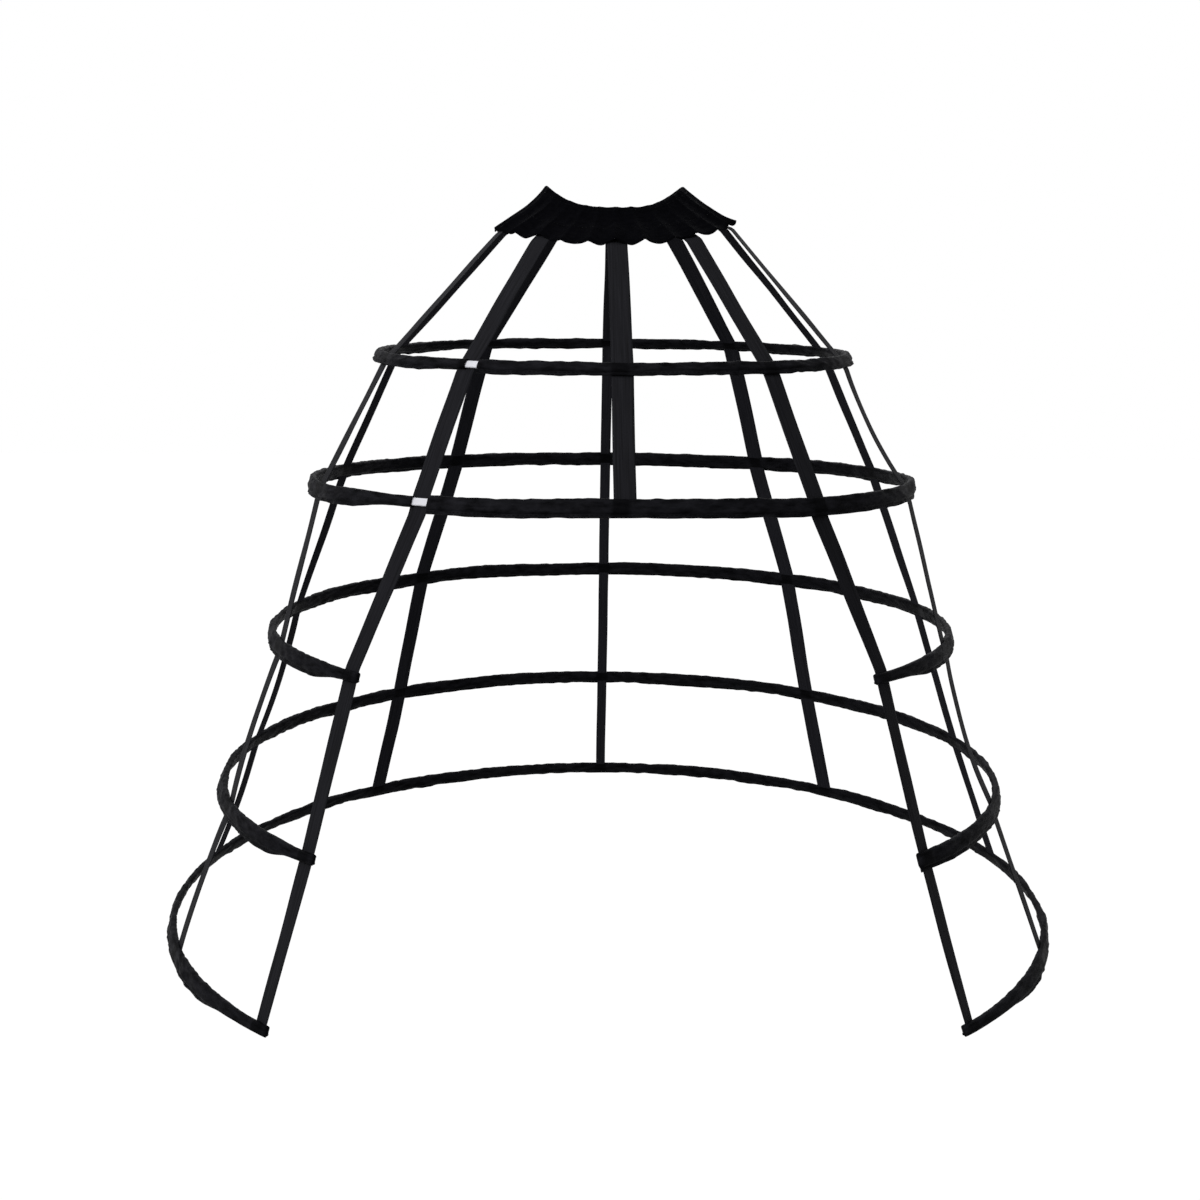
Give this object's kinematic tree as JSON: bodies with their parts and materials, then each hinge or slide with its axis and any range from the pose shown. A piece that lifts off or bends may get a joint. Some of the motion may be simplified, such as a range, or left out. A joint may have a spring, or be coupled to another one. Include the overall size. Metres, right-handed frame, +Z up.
{
  "type": "crinoline cage",
  "caption": "Front-opening birdcage crinoline: gathered elastic waistband, ribbon tapes and boned hoops in cloth casings, closed above and open in front below.",
  "frame": {"origin": "middle of the waist, level with the waistband's hem at the centre front", "axes": "+Z up, -Y to the wearer's front, +X to the wearer's left"},
  "size_m": [0.758, 0.6624, 0.6148],
  "materials": {
    "waistband_cloth": "matte black gathered cloth",
    "elastic": "black woven elastic",
    "casing_cloth": "black satin casing, rumpled",
    "boning_coating": "white coated spring steel and white plastic ends",
    "ribbon": "black ribbon with a soft sheen"
  },
  "bodies": {
    "root": {"waistband_casing": "waistband_cloth", "waistband_elastic": "elastic", "hoop_1_casing": "casing_cloth", "hoop_2_casing": "casing_cloth", "hoop_3_casing": "casing_cloth", "hoop_4_casing": "casing_cloth", "hoop_5_casing": "casing_cloth", "hoop_1_boning": "boning_coating", "hoop_2_boning": "boning_coating", "hoop_3_boning": "boning_coating", "hoop_4_boning": "boning_coating", "hoop_5_boning": "boning_coating", "hoop_1_joiner": "boning_coating", "hoop_2_joiner": "boning_coating", "hoop_3_tips": "boning_coating", "hoop_4_tips": "boning_coating", "hoop_5_tips": "boning_coating", "tape_centre_front": "ribbon", "tape_front_right": "ribbon", "tape_side_front_right": "ribbon", "tape_side_back_right": "ribbon", "tape_back_right": "ribbon", "tape_centre_back": "ribbon", "tape_back_left": "ribbon", "tape_side_back_left": "ribbon", "tape_side_front_left": "ribbon", "tape_front_left": "ribbon"}
  },
  "joints": []
}
